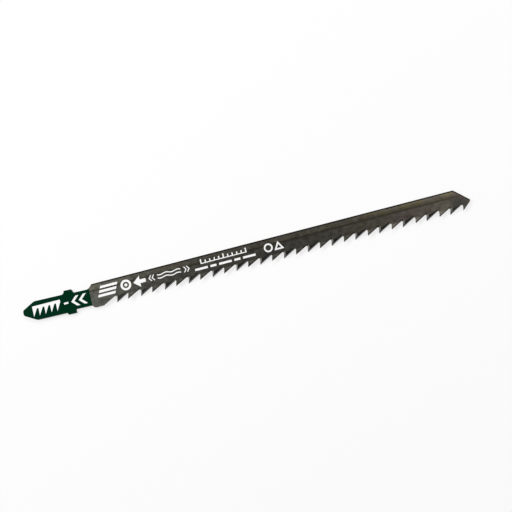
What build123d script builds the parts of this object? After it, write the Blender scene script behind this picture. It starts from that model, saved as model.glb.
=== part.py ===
import os
from math import cos, radians, sin, tan

from build123d import *

# One-piece wood-cutting jigsaw blade with a bayonet shank, lying on its side.
# It is drawn in its own side view: x runs from the end of the shank to the nose, y is 0 on
# the straight spine and negative towards the teeth, and z is 0 in the middle of the sheet.
# Millimetres and degrees throughout.

# Sheet
thickness = 1.25
edge_break = 0.1

# Shank, in its own frame: s along its axis from its end, t out from the axis, up to the spine
shank_axis_depth = 3.73
shank_lean = 1.4
shank_width = 6.1
shank_end_flat = 1.6
shank_end_taper = 4.0
shank_end_radius = 0.9
shank_corner_radius = 1.2
upper_lug_start = 14.05
upper_lug_length = 2.4
upper_lug_height = 1.12
upper_lug_root_radius = 1.0
upper_lug_rear_slant = 0.65
lower_lug_start = 14.3
lower_lug_length = 2.6
lower_lug_height = 0.65
lower_lug_front_slant = 0.35
neck_above_axis = 2.86
neck_below_axis = 2.5

# Body
spine_start = 23.45
edge_start = 23.0
body_depth = 7.7
shoulder_slope = 45.0
shoulder_radius = 1.5
relief_start = 22.4
relief_width = 2.2
relief_depth = 0.12

# Teeth: their points lie on a line that closes on the spine towards the nose
tooth_count = 30
tooth_pitch = 4.0
plain_edge_length = 2.95
run_in_length = 4.5
run_in_slope = 26.8
first_tip_depth = 7.4
tooth_line_rise = 0.16
face_rake = 10.0
back_slope = 26.5
gullet_radius = 0.5
gullet_skew = 22.0
tooth_set = 0.2
bend_below_root = 0.3
bend_radius = 1.5
seam_before_tip = 0.44

# Nose
nose_reach = 3.0
nose_depth = 4.55
nose_cut_angle = 43.6
nose_radius = 0.55

# How far a cut runs out past what it has to reach, and the least straight left beside a fillet
overrun = 0.8
least_straight = 0.05

half_thickness = thickness / 2
half_shank = shank_width / 2
run_in_start = edge_start + plain_edge_length
first_tip_x = run_in_start + run_in_length
nose_x = first_tip_x + (tooth_count - 1) * tooth_pitch + nose_reach


def tip_of(tooth):
    """Cutting point of a tooth in the middle of the sheet; tooth 0 is next to the shank."""
    along = tooth * tooth_pitch
    return Vector(first_tip_x + along, along * tan(radians(tooth_line_rise)) - first_tip_depth)


def back_of(gullet):
    """Start and slope of the straight back on the shank side of a gullet."""
    if gullet == 0:
        return Vector(run_in_start, -body_depth), run_in_slope
    return tip_of(gullet - 1), back_slope


def apex_of(gullet):
    """Where a gullet's back and the next tooth's face would meet with no root radius."""
    start, slope = back_of(gullet)
    back = Vector(cos(radians(slope)), sin(radians(slope)))
    face = Vector(sin(radians(face_rake)), cos(radians(face_rake)))
    gap = tip_of(gullet) - start
    return start + back * ((gap.X * face.Y - gap.Y * face.X) / (back.X * face.Y - back.Y * face.X))


def root_of(gullet):
    """Highest point of a gullet's rounded root."""
    slope = back_of(gullet)[1]
    half_angle = radians(90 - face_rake - slope) / 2
    towards_mouth = radians(180 + slope) + half_angle
    to_centre = Vector(cos(towards_mouth), sin(towards_mouth)) * (gullet_radius / sin(half_angle))
    return apex_of(gullet) + to_centre + Vector(0, gullet_radius)


def root_line(x):
    """Height of the line along the gullet roots, which is parallel to the line of tips."""
    return root_of(1).Y + (x - root_of(1).X) * tan(radians(tooth_line_rise))


def set_side_of(tooth):
    """The teeth are set to alternate sides, and the first one away from the marked side."""
    return 1 if tooth % 2 else -1


shank_plane = Plane(
    origin=(0, -shank_axis_depth, 0),
    x_dir=(cos(radians(shank_lean)), -sin(radians(shank_lean)), 0),
    z_dir=(0, 0, 1),
)


def on_shank(s, t):
    """A point of the side view that is measured in the shank's own frame."""
    return shank_plane.from_local_coords(Vector(s, t))


first_seam_x = first_tip_x - seam_before_tip
last_tip = tip_of(tooth_count - 1)
nose_cut_run = 1 / tan(radians(nose_cut_angle))
end_cut_run = nose_reach / (-nose_depth - last_tip.Y)
shoulder_run = 1 / tan(radians(shoulder_slope))
wedge_depth = (body_depth + (spine_start - edge_start) / shoulder_run) / 2
wedge_x = spine_start - wedge_depth * shoulder_run
neck_top_depth = -on_shank(spine_start, neck_above_axis).Y
upper_shoulder_foot = Vector(spine_start - neck_top_depth * shoulder_run, -neck_top_depth)
root_radius = min(upper_lug_root_radius, upper_lug_height - least_straight)

with BuildPart() as jigsaw_blade:

    # Blank: the side view of the shank and of the body down to the gullet roots
    with BuildSketch() as blank:

        # A tapered end, two unequal lugs across the shank, and a narrower neck into the body
        with BuildLine():
            Polyline(
                on_shank(0, -shank_end_flat / 2),
                on_shank(0, shank_end_flat / 2),
                on_shank(shank_end_taper, half_shank),
                on_shank(upper_lug_start, half_shank),
                on_shank(upper_lug_start, half_shank + upper_lug_height),
                on_shank(upper_lug_start + upper_lug_length, half_shank + upper_lug_height),
                on_shank(upper_lug_start + upper_lug_length + upper_lug_rear_slant, neck_above_axis),
                on_shank(spine_start, neck_above_axis),
                on_shank(spine_start, -neck_below_axis),
                on_shank(lower_lug_start + lower_lug_length, -neck_below_axis),
                on_shank(lower_lug_start + lower_lug_length, -half_shank - lower_lug_height),
                on_shank(lower_lug_start, -half_shank - lower_lug_height),
                on_shank(lower_lug_start - lower_lug_front_slant, -half_shank),
                on_shank(shank_end_taper, -half_shank),
                close=True,
            )
        make_face()

        # The body starts as a wedge inside the neck, whose flanks come out of it as shoulders
        with BuildLine():
            Polyline(
                (wedge_x, -wedge_depth),
                (spine_start, 0),
                (nose_x, 0),
                (nose_x, root_line(nose_x)),
                (first_seam_x, root_line(first_seam_x)),
                (first_seam_x, -body_depth),
                (edge_start, -body_depth),
                close=True,
            )
        make_face()

        for corner, radius in (
            (on_shank(0, -shank_end_flat / 2), shank_end_radius),
            (on_shank(0, shank_end_flat / 2), shank_end_radius),
            (on_shank(shank_end_taper, -half_shank), shank_corner_radius),
            (on_shank(shank_end_taper, half_shank), shank_corner_radius),
            (on_shank(upper_lug_start, half_shank), root_radius),
            (upper_shoulder_foot, shoulder_radius),
        ):
            fillet(blank.vertices().sort_by_distance(corner)[0], radius)
    extrude(amount=half_thickness, both=True)

    # Blanked edges are broken round the shank and along the spine, and not where teeth are cut
    face_edges = jigsaw_blade.faces().filter_by(Axis.Z).edges()
    blanked_edges = face_edges.filter_by(
        lambda edge: edge.center().X < first_seam_x - edge_break or abs(edge.center().Y) < edge_break
    )
    chamfer(blanked_edges, edge_break)

    # Relief ground along the spine into the marked side, which thins the back, and its broken edge
    spine_top = half_thickness - relief_depth
    with BuildSketch(Plane(origin=(relief_start, 0, 0), x_dir=(0, 1, 0), z_dir=(1, 0, 0))):
        with BuildLine():
            Polyline(
                (-relief_width, half_thickness),
                (-edge_break, spine_top),
                (overrun, spine_top - edge_break - overrun),
                (overrun, half_thickness),
                close=True,
            )
        make_face()
    extrude(amount=nose_x - relief_start, mode=Mode.SUBTRACT)

    # Tooth strip: one length for each tooth, bent to that tooth's side below the gullet roots.
    # The lengths meet where the skewed gullets cut both faces away, just clear of the next point.
    for tooth in range(tooth_count):
        tip = tip_of(tooth)
        bend_height = root_line(tip.X) - bend_below_root
        low_height = tip.Y - overrun
        set_per_depth = tooth_set / (bend_height - tip.Y)
        low_shift = set_side_of(tooth) * set_per_depth * (bend_height - low_height)
        strip_start = first_seam_x + tooth * tooth_pitch
        with BuildSketch(Plane(origin=(strip_start, 0, 0), x_dir=(0, 1, 0), z_dir=(1, 0, 0))) as section:
            with BuildLine():
                Polyline(
                    (bend_height + overrun, half_thickness),
                    (bend_height, half_thickness),
                    (low_height, low_shift + half_thickness),
                    (low_height, low_shift - half_thickness),
                    (bend_height, -half_thickness),
                    (bend_height + overrun, -half_thickness),
                    close=True,
                )
            make_face()
            fillet(section.vertices().group_by(Axis.X)[1], bend_radius)
    extrude(amount=tooth_pitch)

    # Gullets: ground straight through at a skew that changes side from each to the next, so
    # that every tooth comes to a point on the face that it is set towards
    for first_gullet in (0, 1):
        with BuildSketch() as gullets:
            for gullet in range(first_gullet, tooth_count, 2):
                apex = apex_of(gullet)
                mouth_height = tip_of(gullet).Y - 2 * overrun
                apex_to_mouth = apex.Y - mouth_height
                with BuildLine():
                    Polyline(
                        (apex.X, apex.Y),
                        (apex.X - apex_to_mouth * tan(radians(face_rake)), mouth_height),
                        (apex.X - apex_to_mouth / tan(radians(back_of(gullet)[1])), mouth_height),
                        close=True,
                    )
                make_face()
                fillet(gullets.vertices().sort_by_distance(apex)[0], gullet_radius)
        skew = Vector(-set_side_of(first_gullet) * tan(radians(gullet_skew)), 0, 1)
        cut_length = (half_thickness + tooth_set + overrun) / cos(radians(gullet_skew))
        extrude(dir=skew, amount=cut_length, both=True, mode=Mode.SUBTRACT)

    # Nose: cut to a rounded point between the spine and the last tooth's point
    with BuildSketch() as nose_cut:
        with BuildLine():
            Polyline(
                (nose_x - (nose_depth + overrun) * nose_cut_run, overrun),
                (nose_x, -nose_depth),
                (last_tip.X - 2 * overrun * end_cut_run, last_tip.Y - 2 * overrun),
                (nose_x + tooth_pitch, last_tip.Y - 2 * overrun),
                (nose_x + tooth_pitch, overrun),
                close=True,
            )
        make_face()
        fillet(nose_cut.vertices().sort_by_distance((nose_x, -nose_depth))[0], nose_radius)
    extrude(amount=half_thickness + tooth_set + overrun, both=True, mode=Mode.SUBTRACT)

# The blade lies on its side: its origin is under the middle of its outline, level with the
# tips of the teeth that are set downwards
outline = jigsaw_blade.part.bounding_box()
jigsaw_blade.part.position = (-outline.center().X, -outline.center().Y, -outline.min.Z)
jigsaw_blade.part.label = "jigsaw_blade"

os.makedirs("parts", exist_ok=True)
export_step(jigsaw_blade.part, "parts/jigsaw_blade.step")
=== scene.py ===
import math

import bmesh
import bpy
from mathutils import Matrix, Vector


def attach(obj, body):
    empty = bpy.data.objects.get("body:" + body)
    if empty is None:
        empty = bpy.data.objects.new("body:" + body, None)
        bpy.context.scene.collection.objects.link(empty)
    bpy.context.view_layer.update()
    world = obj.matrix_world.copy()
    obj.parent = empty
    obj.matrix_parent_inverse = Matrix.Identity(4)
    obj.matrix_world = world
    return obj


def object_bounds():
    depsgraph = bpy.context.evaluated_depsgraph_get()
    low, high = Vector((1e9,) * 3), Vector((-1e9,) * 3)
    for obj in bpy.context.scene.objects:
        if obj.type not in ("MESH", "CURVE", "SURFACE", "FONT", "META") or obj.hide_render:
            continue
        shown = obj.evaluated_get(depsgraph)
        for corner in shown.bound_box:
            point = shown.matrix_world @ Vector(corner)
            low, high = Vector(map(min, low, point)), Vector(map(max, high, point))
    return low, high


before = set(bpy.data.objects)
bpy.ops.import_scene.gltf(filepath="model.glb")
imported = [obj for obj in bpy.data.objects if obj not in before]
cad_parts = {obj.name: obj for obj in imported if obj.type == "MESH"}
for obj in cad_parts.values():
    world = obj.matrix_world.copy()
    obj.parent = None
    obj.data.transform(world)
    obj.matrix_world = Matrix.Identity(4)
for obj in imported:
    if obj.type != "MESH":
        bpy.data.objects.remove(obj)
cad_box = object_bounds()

# The blade: one strip of carbon tool steel, blanked, hardened and tempered to a dark grey, then
# ground. Its faces keep fine marks along their length under cloudy temper colours, the fronts of
# the teeth are ground last and bright, and the backs of the teeth are painted black as shade.

MM = 0.001
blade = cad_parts["jigsaw_blade"]
shank_end = cad_box[0].x
shank_length = 23.0 * MM
spine_height = max(v.co.y for v in blade.data.vertices if v.co.x > 0)
marked_face = max(v.co.z for v in blade.data.vertices if v.co.x < shank_end + shank_length)
relief_width = 2.2 * MM
relief_foot = spine_height - relief_width

tooth_count = 30
tooth_pitch = 4.0 * MM
first_tip = 30.45 * MM
first_tip_depth = 7.4 * MM
tip_line_rise = math.radians(0.16)
face_rake = math.radians(10)
back_slope = math.radians(26.5)
skew_on_face = 0.35 * MM

nose_reach = 3.0 * MM
nose_depth = 4.55 * MM
nose_cut = math.radians(43.6)
nose_x = shank_end + first_tip + (tooth_count - 1) * tooth_pitch + nose_reach
nose_y = spine_height - nose_depth
cut_line = nose_x * math.sin(nose_cut) + nose_y * math.cos(nose_cut)


def linear(colour):
    """A colour written as sRGB hex digits, turned linear, with full alpha."""
    parts = [int(colour[i:i + 2], 16) / 255 for i in (0, 2, 4)]
    return [c / 12.92 if c <= 0.04045 else ((c + 0.055) / 1.055) ** 2.4 for c in parts] + [1.0]


def add_node(tree, kind, settings=None, inputs=None):
    """Adds a node, with its settings, and each input given a value or a link from a socket.

    Inputs go by name, or by number where that is shorter or names repeat. A Map Range has its
    value at 0, what it goes from at 1 and 2, and what it goes to at 3 and 4. A colour Mix has its
    share at 0, its two colours at 6 and 7, and its result as output 2.
    """
    node = tree.nodes.new(kind)
    for name, value in (settings or {}).items():
        setattr(node, name, value)
    for name, value in (inputs or {}).items():
        if isinstance(value, bpy.types.NodeSocket):
            tree.links.new(value, node.inputs[name])
        else:
            node.inputs[name].default_value = value
    return node


def new_material(name):
    """A material with its principled shader, and that shader's tree."""
    material = bpy.data.materials.new(name)
    material.use_nodes = True
    return material, material.node_tree, material.node_tree.nodes["Principled BSDF"]


def patches(tree, place, length, width, detail, roughness):
    """Cloudy noise along the blade, in patches of about this length and width."""
    stretched = add_node(tree, "ShaderNodeMapping", inputs={
        0: place.outputs["Object"], "Scale": (1 / length, 1 / width, 1 / width)})
    return add_node(tree, "ShaderNodeTexNoise", inputs={
        "Vector": stretched.outputs[0], "Scale": 1.0, "Detail": detail, "Roughness": roughness})


def temper_colours(tree, axes, cloud):
    """Clouds from olive through grey to violet, weaker over the middle and grey by the shank."""
    grey_full = shank_end + 25 * MM
    grey_end = shank_end + 50 * MM
    weak_full = shank_end + 98 * MM
    weak_end = shank_end + 112 * MM
    tint = add_node(tree, "ShaderNodeValToRGB", inputs={0: cloud.outputs["Fac"]})
    tint.color_ramp.elements[0].position = 0.32
    tint.color_ramp.elements[0].color = linear("59564b")
    tint.color_ramp.elements[1].position = 0.68
    tint.color_ramp.elements[1].color = linear("585250")
    for position, colour in ((0.43, "59544c"), (0.5, "59534b"), (0.58, "5b524c")):
        tint.color_ramp.elements.new(position).color = linear(colour)
    weak = add_node(tree, "ShaderNodeMapRange", inputs={
        0: axes.outputs["X"], 1: weak_end, 2: weak_full, 3: 0.0, 4: 0.6})
    weakened = add_node(tree, "ShaderNodeMix", {"data_type": "RGBA"}, {
        0: weak.outputs[0], 6: tint.outputs[0], 7: linear("52534d")})
    grey = add_node(tree, "ShaderNodeMapRange", inputs={
        0: axes.outputs["X"], 1: grey_end, 2: grey_full, 3: 0.0, 4: 0.8})
    greyed = add_node(tree, "ShaderNodeMix", {"data_type": "RGBA"}, {
        0: grey.outputs[0], 6: weakened.outputs[2], 7: linear("585953")})
    return greyed.outputs[2]


def relief_finish(tree, place, axes, colour):
    """The relief: stained straw, with a painted highlight beside the spine over painted shade, and
    a painted line of shade at its foot.
    """
    foot_blur = 0.1 * MM
    straw_start = shank_end + 90 * MM
    straw_full = shank_end + 140 * MM
    sheen_start = shank_end + 106 * MM
    sheen_full = shank_end + 120 * MM
    sheen_foot = spine_height - 1.4 * MM
    sheen_top = spine_height - 0.7 * MM
    line_middle = relief_foot - 0.07 * MM
    line_solid = 0.1 * MM
    line_reach = 0.62 * MM

    # The straw stains grow stronger towards the nose
    on_relief = add_node(tree, "ShaderNodeMapRange", inputs={
        0: axes.outputs["Y"], 1: relief_foot - foot_blur, 2: relief_foot + foot_blur})
    to_nose = add_node(tree, "ShaderNodeMapRange", inputs={
        0: axes.outputs["X"], 1: straw_start, 2: straw_full, 3: 0.3, 4: 0.9})
    stain = patches(tree, place, length=4 * MM, width=1.2 * MM, detail=2.0, roughness=0.6)
    straw_cloud = add_node(tree, "ShaderNodeMapRange", inputs={
        0: stain.outputs["Fac"], 1: 0.42, 2: 0.6})
    straw_share = add_node(tree, "ShaderNodeMath", {"operation": "MULTIPLY"}, {
        0: on_relief.outputs[0], 1: to_nose.outputs[0]})
    straw_patch = add_node(tree, "ShaderNodeMath", {"operation": "MULTIPLY"}, {
        0: straw_share.outputs[0], 1: straw_cloud.outputs[0]})
    strawed = add_node(tree, "ShaderNodeMix", {"data_type": "RGBA"}, {
        0: straw_patch.outputs[0], 6: colour, 7: linear("605a42")})

    # Towards the nose a painted highlight lightens a strip beside the spine, and painted shade
    # darkens the relief below that
    sheen_gradient = add_node(tree, "ShaderNodeMapRange", inputs={
        0: axes.outputs["Y"], 1: sheen_foot, 2: sheen_top, 3: 0.85, 4: 1.4})
    sheen_share = add_node(tree, "ShaderNodeMapRange", inputs={
        0: axes.outputs["X"], 1: sheen_start, 2: sheen_full})
    on_sheen = add_node(tree, "ShaderNodeMath", {"operation": "MULTIPLY"}, {
        0: on_relief.outputs[0], 1: sheen_share.outputs[0]})
    sheened = add_node(tree, "ShaderNodeMix", {"data_type": "RGBA", "blend_type": "MULTIPLY"}, {
        0: on_sheen.outputs[0], 6: strawed.outputs[2], 7: sheen_gradient.outputs[0]})

    # Painted shade: a dark olive line along the foot, where the face turns into the relief
    from_foot = add_node(tree, "ShaderNodeMath", {"operation": "SUBTRACT"}, {
        0: axes.outputs["Y"], 1: line_middle})
    distance = add_node(tree, "ShaderNodeMath", {"operation": "ABSOLUTE"}, {
        0: from_foot.outputs[0]})
    foot = add_node(tree, "ShaderNodeMapRange", {"interpolation_type": "SMOOTHSTEP"}, {
        0: distance.outputs[0], 1: line_solid, 2: line_reach, 3: 0.82, 4: 0.0})
    lined = add_node(tree, "ShaderNodeMix", {"data_type": "RGBA"}, {
        0: foot.outputs[0], 6: sheened.outputs[2], 7: linear("3f3c30")})
    return lined.outputs[2]


def tooth_places(tree, axes):
    """Where a place lies among the teeth, as sockets.

    It is measured past the first tooth's point, above the line of points, past its own tooth's
    front edge and above that tooth's back. The skewed gullets move the front edges of the teeth
    that are set up towards the shank on this face.
    """
    along = add_node(tree, "ShaderNodeMath", {"operation": "SUBTRACT"}, {
        0: axes.outputs["X"], 1: shank_end + first_tip})
    tip_line = add_node(tree, "ShaderNodeMath", {"operation": "MULTIPLY_ADD"}, {
        0: along.outputs[0], 1: math.tan(tip_line_rise), 2: spine_height - first_tip_depth})
    above_tips = add_node(tree, "ShaderNodeMath", {"operation": "SUBTRACT"}, {
        0: axes.outputs["Y"], 1: tip_line.outputs[0]})
    from_front = add_node(tree, "ShaderNodeMath", {"operation": "MULTIPLY_ADD"}, {
        0: above_tips.outputs[0], 1: -math.tan(face_rake), 2: along.outputs[0]})
    past_first = add_node(tree, "ShaderNodeMath", {"operation": "GREATER_THAN"}, {
        0: from_front.outputs[0], 1: 0.0})
    from_edge = add_node(tree, "ShaderNodeMath", {"operation": "ADD"}, {
        0: from_front.outputs[0], 1: skew_on_face})
    in_pair = add_node(tree, "ShaderNodeMath", {"operation": "FLOORED_MODULO"}, {
        0: from_edge.outputs[0], 1: 2 * tooth_pitch})
    set_up = add_node(tree, "ShaderNodeMath", {"operation": "GREATER_THAN"}, {
        0: in_pair.outputs[0], 1: tooth_pitch})
    in_tooth = add_node(tree, "ShaderNodeMath", {"operation": "FLOORED_MODULO"}, {
        0: from_edge.outputs[0], 1: tooth_pitch})
    from_point = add_node(tree, "ShaderNodeMath", {"operation": "SUBTRACT"}, {
        0: in_tooth.outputs[0], 1: skew_on_face})
    past_point = add_node(tree, "ShaderNodeMath", {"operation": "MULTIPLY_ADD"}, {
        0: above_tips.outputs[0], 1: math.tan(face_rake), 2: from_point.outputs[0]})
    above_back = add_node(tree, "ShaderNodeMath", {"operation": "MULTIPLY_ADD"}, {
        0: past_point.outputs[0], 1: -math.tan(back_slope), 2: above_tips.outputs[0]})
    return {
        "along": along.outputs[0], "above_tips": above_tips.outputs[0],
        "past_first": past_first.outputs[0], "set_up": set_up.outputs[0],
        "in_tooth": in_tooth.outputs[0], "above_back": above_back.outputs[0]}


def tooth_shading(tree, teeth, colour):
    """Painted shade along the backs of the teeth and over those set away, and a painted highlight
    on faces near the nose.
    """
    shade_foot = 1.7 * MM
    shade_top = 2.8 * MM
    band_solid = 0.05 * MM
    band_reach = 0.4 * MM
    dark_points_full = 62 * MM
    dark_points_end = 85 * MM
    point_solid = 0.3 * MM
    point_reach = 1.5 * MM
    wedge_start = 20 * MM
    wedge_full = 80 * MM
    wedge_foot = 0.4 * MM
    wedge_top = 1.9 * MM
    wedge_solid = 0.2 * MM
    wedge_reach_at_foot = 1.5 * MM
    wedge_reach_at_top = 1.1 * MM
    front_fade = 0.8 * MM
    highlight_start = 72 * MM
    highlight_full = 92 * MM
    highlight_foot = 0.6 * MM
    highlight_top = 1.9 * MM

    # Painted shade in a thin band along the backs of the teeth that are set up, whose points are
    # dark in the half by the shank
    band = add_node(tree, "ShaderNodeMapRange", {"interpolation_type": "SMOOTHSTEP"}, {
        0: teeth["above_back"], 1: band_solid, 2: band_reach, 3: 0.85, 4: 0.0})
    point_share = add_node(tree, "ShaderNodeMapRange", inputs={
        0: teeth["along"], 1: dark_points_full, 2: dark_points_end, 3: 0.65, 4: 0.0})
    at_up_point = add_node(tree, "ShaderNodeMapRange", {"interpolation_type": "SMOOTHSTEP"}, {
        0: teeth["above_tips"], 1: point_solid, 2: point_reach,
        3: point_share.outputs[0], 4: 0.0})
    on_up_teeth = add_node(tree, "ShaderNodeMath", {"operation": "MAXIMUM"}, {
        0: band.outputs[0], 1: at_up_point.outputs[0]})

    # Painted shade in a broad wedge down to the point on the teeth that are set away and tilt from
    # the light, darker towards the nose
    wedge_share = add_node(tree, "ShaderNodeMapRange", inputs={
        0: teeth["along"], 1: wedge_start, 2: wedge_full, 3: 0.6, 4: 0.95})
    wedge_reach = add_node(tree, "ShaderNodeMapRange", inputs={
        0: teeth["above_tips"], 1: wedge_foot, 2: wedge_top,
        3: wedge_reach_at_foot, 4: wedge_reach_at_top})
    wedge = add_node(tree, "ShaderNodeMapRange", {"interpolation_type": "SMOOTHSTEP"}, {
        0: teeth["above_back"], 1: wedge_solid, 2: wedge_reach.outputs[0],
        3: wedge_share.outputs[0], 4: 0.0})
    before_next = add_node(tree, "ShaderNodeMapRange", {"interpolation_type": "SMOOTHSTEP"}, {
        0: teeth["in_tooth"], 1: tooth_pitch, 2: tooth_pitch - front_fade})
    on_away_teeth = add_node(tree, "ShaderNodeMath", {"operation": "MULTIPLY"}, {
        0: wedge.outputs[0], 1: before_next.outputs[0]})

    # The painted shade fades out just above the gullets' roots, and there is none before the first
    # tooth
    shade_share = add_node(tree, "ShaderNodeMix", inputs={
        0: teeth["set_up"], 2: on_away_teeth.outputs[0], 3: on_up_teeth.outputs[0]})
    shade_height = add_node(tree, "ShaderNodeMapRange", {"interpolation_type": "SMOOTHSTEP"}, {
        0: teeth["above_tips"], 1: shade_top, 2: shade_foot})
    on_teeth = add_node(tree, "ShaderNodeMath", {"operation": "MULTIPLY"}, {
        0: shade_height.outputs[0], 1: teeth["past_first"]})
    black = add_node(tree, "ShaderNodeMath", {"operation": "MULTIPLY"}, {
        0: shade_share.outputs[0], 1: on_teeth.outputs[0]})

    # A painted highlight on the lower faces of the teeth that are set up and tilt towards the
    # light, stronger towards the nose
    highlight_along = add_node(tree, "ShaderNodeMapRange", inputs={
        0: teeth["along"], 1: highlight_start, 2: highlight_full, 3: 0.0, 4: 0.8})
    highlight_share = add_node(tree, "ShaderNodeMapRange", {"interpolation_type": "SMOOTHSTEP"}, {
        0: teeth["above_tips"], 1: highlight_top, 2: highlight_foot, 3: 0.0, 4: highlight_along.outputs[0]})
    highlight = add_node(tree, "ShaderNodeMath", {"operation": "MULTIPLY"}, {
        0: highlight_share.outputs[0], 1: teeth["set_up"]})
    brightened = add_node(tree, "ShaderNodeMix", {"data_type": "RGBA"}, {
        0: highlight.outputs[0], 6: colour, 7: linear("757269")})
    blackened = add_node(tree, "ShaderNodeMix", {"data_type": "RGBA"}, {
        0: black.outputs[0], 6: brightened.outputs[2], 7: linear("1c1a18")})
    return blackened.outputs[2]


def nose_marks(tree, place, axes, cloud, to_cut, colour):
    """A darker patch over the nose's point, and a violet tint where its upper cut ran hot."""
    dark_patch_middle = (shank_end + 145.8 * MM, spine_height - 5.3 * MM, marked_face)
    dark_patch_solid = 1.8 * MM
    dark_patch_reach = 4.4 * MM
    heat_reach = 1.4 * MM
    heat_full = 0.3 * MM
    heat_foot = spine_height - 3.6 * MM
    heat_top = spine_height - 2.8 * MM

    from_dark_patch = add_node(tree, "ShaderNodeVectorMath", {"operation": "DISTANCE"}, {
        0: place.outputs["Object"], 1: dark_patch_middle})
    dark_patch = add_node(tree, "ShaderNodeMapRange", {"interpolation_type": "SMOOTHSTEP"}, {
        0: from_dark_patch.outputs["Value"], 1: dark_patch_solid, 2: dark_patch_reach, 3: 0.8, 4: 0.0})
    patch_darkened = add_node(tree, "ShaderNodeMix", {"data_type": "RGBA"}, {
        0: dark_patch.outputs[0], 6: colour, 7: linear("3b3c37")})

    # The tint is a millimetre wide, in patches, and only beside the upper half of the nose
    heat = add_node(tree, "ShaderNodeMapRange", {"interpolation_type": "SMOOTHSTEP"}, {
        0: to_cut, 1: cut_line - heat_reach, 2: cut_line - heat_full, 3: 0.0, 4: 0.7})
    heat_patch = add_node(tree, "ShaderNodeMapRange", inputs={
        0: cloud.outputs["Fac"], 1: 0.46, 2: 0.6})
    heat_share = add_node(tree, "ShaderNodeMath", {"operation": "MULTIPLY"}, {
        0: heat.outputs[0], 1: heat_patch.outputs[0]})
    upper_half = add_node(tree, "ShaderNodeMapRange", inputs={
        0: axes.outputs["Y"], 1: heat_foot, 2: heat_top})
    heat_above = add_node(tree, "ShaderNodeMath", {"operation": "MULTIPLY"}, {
        0: heat_share.outputs[0], 1: upper_half.outputs[0]})
    heated = add_node(tree, "ShaderNodeMix", {"data_type": "RGBA"}, {
        0: heat_above.outputs[0], 6: patch_darkened.outputs[2], 7: linear("634a4b")})
    return heated.outputs[2]


def broken_edges(tree, axes, to_cut, colour):
    """Painted shade: a thin dark line on the broken edges of the spine and of the nose's cut."""
    spine_reach = 0.6 * MM
    spine_solid = 0.3 * MM
    cut_reach = 0.5 * MM
    cut_solid = 0.25 * MM
    at_spine = add_node(tree, "ShaderNodeMapRange", inputs={
        0: axes.outputs["Y"], 1: spine_height - spine_reach, 2: spine_height - spine_solid})
    at_cut = add_node(tree, "ShaderNodeMapRange", inputs={
        0: to_cut, 1: cut_line - cut_reach, 2: cut_line - cut_solid})
    at_edge = add_node(tree, "ShaderNodeMath", {"operation": "MAXIMUM"}, {
        0: at_spine.outputs[0], 1: at_cut.outputs[0]})
    edge_shaded = add_node(tree, "ShaderNodeMix", {"data_type": "RGBA"}, {
        0: at_edge.outputs[0], 6: colour, 7: linear("1e1c1a")})
    return edge_shaded.outputs[2]


def sheet_edges(tree, place, above_tips, colour):
    """The sides of the sheet: blanked dark grey, backs of teeth painted black as shade, and ground
    tooth fronts.
    """
    dark_point = 0.3 * MM
    bright_from = 1.0 * MM

    # A side faces neither up nor down, and the backs of the teeth face away from the spine
    facing = add_node(tree, "ShaderNodeSeparateXYZ", inputs={0: place.outputs["Normal"]})
    upright = add_node(tree, "ShaderNodeMath", {"operation": "ABSOLUTE"}, {
        0: facing.outputs["Z"]})
    side = add_node(tree, "ShaderNodeMapRange", inputs={0: upright.outputs[0], 1: 0.8, 2: 0.6})
    sided = add_node(tree, "ShaderNodeMix", {"data_type": "RGBA"}, {
        0: side.outputs[0], 6: colour, 7: linear("2c2a27")})
    # Painted shade: the backs of the teeth are painted near black
    back = add_node(tree, "ShaderNodeMapRange", inputs={
        0: facing.outputs["Y"], 1: -0.5, 2: -0.7})
    back_shaded = add_node(tree, "ShaderNodeMix", {"data_type": "RGBA"}, {
        0: back.outputs[0], 6: sided.outputs[2], 7: linear("181715")})

    # The fronts of the teeth face the shank. They are bright, apart from the very points.
    front = add_node(tree, "ShaderNodeMapRange", inputs={
        0: facing.outputs["X"], 1: -0.6, 2: -0.8})
    at_point = add_node(tree, "ShaderNodeMapRange", inputs={
        0: above_tips, 1: dark_point, 2: bright_from})
    front_shade = add_node(tree, "ShaderNodeMix", {"data_type": "RGBA"}, {
        0: at_point.outputs[0], 6: linear("3c3a37"), 7: linear("8a8883")})
    fronted = add_node(tree, "ShaderNodeMix", {"data_type": "RGBA"}, {
        0: front.outputs[0], 6: back_shaded.outputs[2], 7: front_shade.outputs[2]})
    return fronted.outputs[2]


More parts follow.
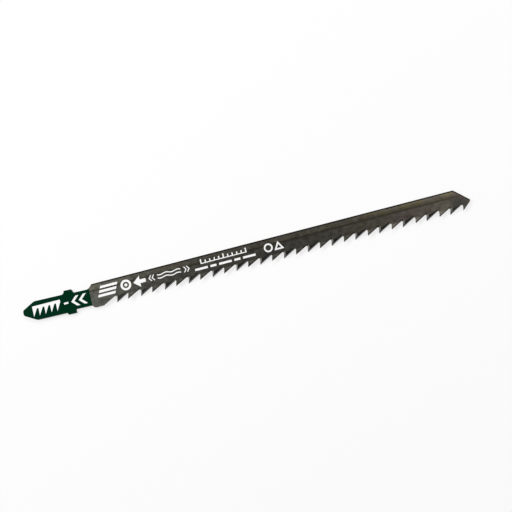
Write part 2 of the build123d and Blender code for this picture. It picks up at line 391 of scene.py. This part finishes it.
def tempered_tool_steel():
    """Ground, tempered tool steel: dark, softly mottled, with olive and violet temper colours."""
    material, tree, shader = new_material("tempered_tool_steel")
    place = add_node(tree, "ShaderNodeTexCoord")
    axes = add_node(tree, "ShaderNodeSeparateXYZ", inputs={0: place.outputs["Object"]})
    teeth = tooth_places(tree, axes)
    to_cut = add_node(tree, "ShaderNodeVectorMath", {"operation": "DOT_PRODUCT"}, {
        0: place.outputs["Object"], 1: (math.sin(nose_cut), math.cos(nose_cut), 0)})
    cloud = patches(tree, place, length=6 * MM, width=3 * MM, detail=3.0, roughness=0.6)
    colour = temper_colours(tree, axes, cloud)

    # Mottling: cloudy light and dark spots 1 to 2 mm across
    spot = add_node(tree, "ShaderNodeTexNoise", inputs={
        "Vector": place.outputs["Object"], "Scale": 1 / (1.6 * MM), "Detail": 4.0,
        "Roughness": 0.6})
    mottle = add_node(tree, "ShaderNodeMapRange", inputs={
        0: spot.outputs["Fac"], 1: 0.3, 2: 0.7, 3: 0.76, 4: 1.24})
    mottled = add_node(tree, "ShaderNodeMix", {"data_type": "RGBA", "blend_type": "MULTIPLY"}, {
        0: 1.0, 6: colour, 7: mottle.outputs[0]})

    # Grinding marks: too fine to show at their real 0.05 mm, so drawn 0.3 mm wide and finer
    mark = patches(tree, place, length=4 * MM, width=0.3 * MM, detail=4.0, roughness=0.7)
    streak = add_node(tree, "ShaderNodeMapRange", inputs={
        0: mark.outputs["Fac"], 1: 0.3, 2: 0.7, 3: 0.8, 4: 1.2})
    streaked = add_node(tree, "ShaderNodeMix", {"data_type": "RGBA", "blend_type": "MULTIPLY"}, {
        0: 1.0, 6: mottled.outputs[2], 7: streak.outputs[0]})

    colour = relief_finish(tree, place, axes, streaked.outputs[2])
    colour = tooth_shading(tree, teeth, colour)
    colour = nose_marks(tree, place, axes, cloud, to_cut.outputs["Value"], colour)
    colour = broken_edges(tree, axes, to_cut.outputs["Value"], colour)
    colour = sheet_edges(tree, place, teeth["above_tips"], colour)

    rough = add_node(tree, "ShaderNodeMapRange", inputs={
        0: spot.outputs["Fac"], 3: 0.26, 4: 0.42})
    bump = add_node(tree, "ShaderNodeBump", inputs={
        "Strength": 0.2, "Distance": 0.02 * MM, "Height": mark.outputs["Fac"]})
    tree.links.new(colour, shader.inputs["Base Color"])
    tree.links.new(rough.outputs[0], shader.inputs["Roughness"])
    tree.links.new(bump.outputs[0], shader.inputs["Normal"])
    shader.inputs["Metallic"].default_value = 1.0
    return material


blade.data.materials.clear()
blade.data.materials.append(tempered_tool_steel())

# The enamel: the shank is dipped in dark green enamel up to a straight edge just past the
# shoulders. The film is a few hundredths of a millimetre thick, and covers every side.

enamel_end = shank_end + 22.3 * MM
film = 0.03 * MM
merge_distance = 0.001 * MM


def shank_film():
    """A copy of the shank's skin up to the enamel's edge, thickened outwards into a closed film."""
    mesh = bmesh.new()
    mesh.from_mesh(blade.data)
    bmesh.ops.remove_doubles(mesh, verts=mesh.verts, dist=merge_distance)
    bmesh.ops.bisect_plane(
        mesh, geom=mesh.verts[:] + mesh.edges[:] + mesh.faces[:],
        plane_co=(enamel_end, 0, 0), plane_no=(1, 0, 0), clear_outer=True)
    bmesh.ops.dissolve_limit(
        mesh, angle_limit=math.radians(1), verts=mesh.verts, edges=mesh.edges)
    bmesh.ops.recalc_face_normals(mesh, faces=mesh.faces)
    bmesh.ops.solidify(mesh, geom=mesh.faces[:], thickness=-film)
    bmesh.ops.recalc_face_normals(mesh, faces=mesh.faces)
    return mesh


def new_piece(name, mesh, material):
    """Makes an object of a finished bmesh, which rides on the blade."""
    data = bpy.data.meshes.new(name)
    mesh.to_mesh(data)
    mesh.free()
    data.materials.append(material)
    piece = bpy.data.objects.new(name, data)
    bpy.context.scene.collection.objects.link(piece)
    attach(piece, "root")


def dipped_enamel():
    """Stoved enamel: a deep green that is almost black, smooth, with little shine and a ripple."""
    material, tree, shader = new_material("dipped_enamel")
    place = add_node(tree, "ShaderNodeTexCoord")
    ripple = add_node(tree, "ShaderNodeTexNoise", inputs={
        "Vector": place.outputs["Object"], "Scale": 1 / (1.6 * MM), "Detail": 2.0})
    shade = add_node(tree, "ShaderNodeMix", {"data_type": "RGBA"}, {
        0: ripple.outputs["Fac"], 6: linear("002a18"), 7: linear("002e1b")})
    bump = add_node(tree, "ShaderNodeBump", inputs={
        "Strength": 0.3, "Distance": 0.02 * MM, "Height": ripple.outputs["Fac"]})
    tree.links.new(shade.outputs[2], shader.inputs["Base Color"])
    tree.links.new(bump.outputs[0], shader.inputs["Normal"])
    shader.inputs["Roughness"].default_value = 0.22
    shader.inputs["IOR"].default_value = 1.5
    shader.inputs["Specular IOR Level"].default_value = 0.02
    return material


new_piece("shank_enamel", shank_film(), dipped_enamel())

# The print: marks in white ink on the side that faces up, a hundredth of a millimetre or two
# thick. They are plain pictures and graduations: a row of saw teeth and the way into the clamp
# on the shank, then a board, a log's end and an arrow, wood grain, a scale and two signs.

ink_thickness = 0.02 * MM
relief_depth = 0.12 * MM


def ink_shape(mesh, corners):
    """One flat mark. Its corners are millimetres from the shank's end and down from the spine."""
    mesh.faces.new([
        mesh.verts.new((shank_end + x * MM, spine_height - y * MM, 0)) for x, y in corners])


def ink_bar(mesh, left, right, top, bottom, lean=0.0):
    """An upright bar, or one that leans back at its top."""
    ink_shape(mesh, (
        (left, bottom), (right, bottom), (right + lean, top), (left + lean, top)))


def ink_chevron(mesh, x, y, reach, half_height, stroke):
    """An angle bracket that opens away from its point at x, y, to the left if reach is negative."""
    side = math.copysign(stroke, reach)
    ink_shape(mesh, (
        (x, y), (x + reach, y + half_height), (x + reach + side, y + half_height),
        (x + side, y), (x + reach + side, y - half_height), (x + reach, y - half_height)))


def ink_ring(mesh, x, y, outer, inner, steps=24):
    """A disc, or a ring where inner isn't 0."""
    centre = Matrix.Translation((shank_end + x * MM, spine_height - y * MM, 0))
    made = bmesh.ops.create_circle(
        mesh, cap_ends=True, radius=outer * MM, segments=steps, matrix=centre)
    if inner:
        face = made["verts"][0].link_faces[0]
        bmesh.ops.inset_region(
            mesh, faces=[face], use_boundary=True, use_even_offset=True,
            thickness=(outer - inner) * MM)
        bmesh.ops.delete(mesh, geom=[face], context="FACES_ONLY")


def ink_wave(mesh, left, right, y, height, stroke, waves):
    """A wavy line, as a band."""
    steps = 12 * waves
    line = []
    for i in range(steps + 1):
        turn = 2 * math.pi * waves * i / steps
        line.append((left + (right - left) * i / steps, y + height * math.sin(turn)))
    for (x, v), (next_x, next_v) in zip(line, line[1:]):
        ink_shape(mesh, (
            (x, v + stroke / 2), (next_x, next_v + stroke / 2),
            (next_x, next_v - stroke / 2), (x, v - stroke / 2)))


def lay_on_face(mesh, height):
    """Thickens flat marks and lays them on the marked side, folded at the relief's foot."""
    bmesh.ops.remove_doubles(mesh, verts=mesh.verts, dist=merge_distance)
    bmesh.ops.bisect_plane(
        mesh, geom=mesh.verts[:] + mesh.edges[:] + mesh.faces[:],
        plane_co=(0, relief_foot, 0), plane_no=(0, 1, 0))
    bmesh.ops.recalc_face_normals(mesh, faces=mesh.faces)
    for face in mesh.faces:
        if face.normal.z < 0:
            face.normal_flip()
    bmesh.ops.solidify(mesh, geom=mesh.faces[:], thickness=-ink_thickness)
    for vert in mesh.verts:
        vert.co.z += height - max(0, vert.co.y - relief_foot) * relief_depth / relief_width
    bmesh.ops.recalc_face_normals(mesh, faces=mesh.faces)


def screen_ink():
    """Screen ink: flat white, slightly chalky, and thin enough to let a little grey through."""
    material, tree, shader = new_material("screen_ink")
    place = add_node(tree, "ShaderNodeTexCoord")
    cover = add_node(tree, "ShaderNodeTexNoise", inputs={
        "Vector": place.outputs["Object"], "Scale": 1 / (0.5 * MM), "Detail": 3.0})
    shade = add_node(tree, "ShaderNodeMix", {"data_type": "RGBA"}, {
        0: cover.outputs["Fac"], 6: linear("fafaf9"), 7: linear("ffffff")})
    tree.links.new(shade.outputs[2], shader.inputs["Base Color"])
    shader.inputs["Roughness"].default_value = 0.55
    shader.inputs["IOR"].default_value = 1.5
    return material


ink = screen_ink()

# On the shank, below the height of the relief's foot: a strip of saw teeth whose last tooth
# stands flush with its end, a dash, and two arrowheads that point into the clamp
shank_print = bmesh.new()
shank_row = 4.05
strip_left = 3.2
strip_right = 12.4
strip_top = shank_row - 1.7
strip_foot = shank_row - 0.8
saw_tips = shank_row + 1.7
saw_pitch = 1.94
saw_width = 1.4
saw = [(strip_left, strip_top), (strip_right, strip_top), (strip_right, strip_foot)]
for tooth in reversed(range(5)):
    point = strip_left + tooth * saw_pitch
    saw += [(point + saw_width, strip_foot), (point, saw_tips), (point, strip_foot)]
del saw[-1]
ink_shape(shank_print, saw)
ink_bar(shank_print, left=13.5, right=14.9, top=shank_row - 0.3, bottom=shank_row + 0.3)
for point in (15.9, 18.4):
    ink_chevron(shank_print, point, shank_row, reach=1.7, half_height=1.65, stroke=1.0)
lay_on_face(shank_print, marked_face + film)
new_piece("shank_print", shank_print, ink)

# On the body: a board of three planks and a log's end beside an arrow, in the heaviest marks
body_print = bmesh.new()
board_left = 24.7
board_right = 30.4
board_lean = 0.4
plank_tops = (1.35, 2.72, 4.1)
plank_width = 0.8
for top in plank_tops:
    shift = board_lean * (plank_tops[-1] - top)
    ink_bar(body_print, board_left + shift, board_right + shift, top, top + plank_width,
            lean=board_lean * plank_width)
heavy_row = 3.15
log_middle = 34.3
ink_ring(body_print, log_middle, heavy_row, outer=1.75, inner=1.05)
ink_ring(body_print, log_middle, heavy_row, outer=0.5, inner=0)
arrow_point = 36.8
arrow_neck = 39.0
arrow_tail = 40.9
arrow_head = 1.85
arrow_shaft = 0.6
ink_shape(body_print, (
    (arrow_point, heavy_row),
    (arrow_neck, heavy_row + arrow_head),
    (arrow_neck, heavy_row + arrow_shaft),
    (arrow_tail, heavy_row + arrow_shaft),
    (arrow_tail, heavy_row - arrow_shaft),
    (arrow_neck, heavy_row - arrow_shaft),
    (arrow_neck, heavy_row - arrow_head)))

# Wood grain between two pairs of chevrons
grain_row = 3.05
for point, reach in ((41.9, 0.7), (42.9, 0.7), (54.6, -0.7), (55.6, -0.7)):
    ink_chevron(body_print, point, grain_row, reach, half_height=0.95, stroke=0.38)
for row in (2.5, 3.6):
    ink_wave(body_print, 44.8, 52.6, row, height=0.2, stroke=0.35, waves=2)

# A graduated scale, with no corner where its end marks stand flush with its ends, and a broken
# line below it
scale_start = 59.4
scale_top = 2.4
scale_foot = 2.7
long_mark_top = 1.1
short_mark_top = 1.6
last_mark = 10
mark_step = 1.5
mark_width = 0.4
scale_end = scale_start + last_mark * mark_step + mark_width
scale = [(scale_start, scale_foot), (scale_end, scale_foot)]
for mark in reversed(range(last_mark + 1)):
    left = scale_start + mark * mark_step
    right = left + mark_width
    top = short_mark_top if mark % 5 else long_mark_top
    scale += [(right, scale_top), (right, top), (left, top), (left, scale_top)]
del scale[2]
del scale[-1]
ink_shape(body_print, scale)
dash_start = 57.2
dash_gap = 0.9
for dash in (4.2, 2.0, 4.2, 2.0, 4.2):
    ink_bar(body_print, dash_start, dash_start + dash, top=3.8, bottom=4.5)
    dash_start += dash + dash_gap

# A ring and a triangle
ink_ring(body_print, 81.9, 3.1, outer=1.45, inner=0.95)
ink_ring(body_print, 85.3, 3.5, outer=1.85, inner=1.38, steps=3)
lay_on_face(body_print, marked_face)
new_piece("body_print", body_print, ink)

# The stage: a plain white floor that keeps the blade's shadow, lit by two soft boxes at the
# sides and one behind, with a dim overhead, which a flat ground face shows as dark grey.

floor_size = 6.0


def studio_floor():
    """White paper, brought up to plain white for the camera and in reflections."""
    material, tree, shader = new_material("studio_floor")
    shader.inputs["Base Color"].default_value = linear("fcfcfc")
    shader.inputs["Roughness"].default_value = 0.9
    shader.inputs["Specular IOR Level"].default_value = 0.0
    path = add_node(tree, "ShaderNodeLightPath")
    seen = add_node(tree, "ShaderNodeMath", {"operation": "MAXIMUM"}, {
        0: path.outputs["Is Camera Ray"], 1: path.outputs["Is Glossy Ray"]})
    through = add_node(tree, "ShaderNodeMath", {"operation": "MAXIMUM"}, {
        0: seen.outputs[0], 1: path.outputs["Is Transmission Ray"]})
    share = add_node(tree, "ShaderNodeMath", {"operation": "MULTIPLY"}, {
        0: through.outputs[0], 1: 0.75})
    white = add_node(tree, "ShaderNodeEmission", inputs={
        "Color": linear("ffffff"), "Strength": 1.0})
    mixed = add_node(tree, "ShaderNodeMixShader", inputs={
        0: share.outputs[0], 1: shader.outputs[0], 2: white.outputs[0]})
    tree.links.new(mixed.outputs[0], tree.nodes["Material Output"].inputs["Surface"])
    return material


floor_mesh = bmesh.new()
bmesh.ops.create_grid(floor_mesh, x_segments=1, y_segments=1, size=floor_size / 2)
floor_data = bpy.data.meshes.new("floor")
floor_mesh.to_mesh(floor_data)
floor_mesh.free()
floor_data.materials.append(studio_floor())
floor = bpy.data.objects.new("floor", floor_data)
bpy.context.scene.collection.objects.link(floor)


def soft_box(name, place, width, height, radiance):
    """A square lamp that faces the blade, of a given brightness."""
    lamp = bpy.data.lights.new(name, "AREA")
    lamp.shape = "RECTANGLE"
    lamp.size = width
    lamp.size_y = height
    lamp.energy = radiance * math.pi * width * height
    box = bpy.data.objects.new(name, lamp)
    box.location = place
    box.rotation_euler = (-Vector(place)).to_track_quat("-Z", "Y").to_euler()
    bpy.context.scene.collection.objects.link(box)


soft_box("left_box", (-0.386, 0.14, 0.46), width=0.3, height=0.3, radiance=7.1)
soft_box("right_box", (0.4, 0.1, 0.45), width=0.3, height=0.3, radiance=3.9)
soft_box("back_box", (0.0, 0.4, 0.46), width=0.5, height=0.2, radiance=3.6)

world = bpy.data.worlds.new("studio")
world.use_nodes = True
world.node_tree.nodes["Background"].inputs["Color"].default_value = linear("ffffff")
world.node_tree.nodes["Background"].inputs["Strength"].default_value = 0.17
bpy.context.scene.world = world

# The camera: it looks almost straight down on the marked side, from a little on the side of
# the teeth, and is turned so that the blade climbs to the right.

aim = Vector((2.8, -0.71, 0.88)) * MM
camera_distance = 252.7 * MM
picture_width = 166.1 * MM
lean_to_teeth = math.radians(8.74)
lean_to_nose = math.radians(-0.49)
climb = math.radians(14.62)

toward = Vector((
    math.sin(lean_to_nose) * math.cos(lean_to_teeth),
    -math.sin(lean_to_teeth),
    math.cos(lean_to_nose) * math.cos(lean_to_teeth)))
right = Vector((math.cos(lean_to_nose), 0, -math.sin(lean_to_nose)))
up = toward.cross(right)
turned_right = right * math.cos(climb) - up * math.sin(climb)
turned_up = right * math.sin(climb) + up * math.cos(climb)

camera_data = bpy.data.cameras.new("camera")
camera_data.sensor_width = 36.0
camera_data.lens = camera_data.sensor_width * camera_distance / picture_width
camera_data.clip_start = 0.01
camera = bpy.data.objects.new("camera", camera_data)
camera.matrix_world = Matrix.Translation(aim + toward * camera_distance) @ Matrix(
    (turned_right, turned_up, toward)).transposed().to_4x4()
bpy.context.scene.collection.objects.link(camera)
bpy.context.scene.camera = camera
bpy.context.scene.view_settings.view_transform = "Standard"
